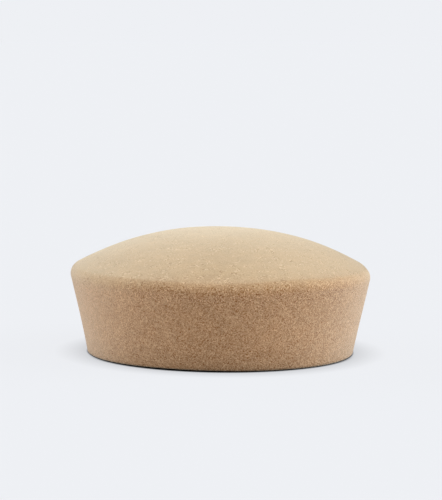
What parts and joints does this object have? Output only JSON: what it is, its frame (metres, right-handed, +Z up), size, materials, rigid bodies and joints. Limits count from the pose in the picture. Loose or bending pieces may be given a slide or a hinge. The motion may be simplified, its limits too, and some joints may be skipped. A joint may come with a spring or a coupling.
{
  "type": "felt hat",
  "caption": "Round pillbox hat of thick tan felt: a low domed crown over a soft rim, and a plain wall that narrows down to its open cut edge.",
  "frame": {"origin": "on the resting surface, at the middle of the hat's outline", "axes": "+Z up, -Y the wearer's front, +X the wearer's left"},
  "size_m": [0.1928, 0.2434, 0.0813],
  "materials": {
    "felt": "matt wool felt with a short brushed nap"
  },
  "bodies": {
    "root": {"felt_cap": "felt"}
  },
  "joints": []
}
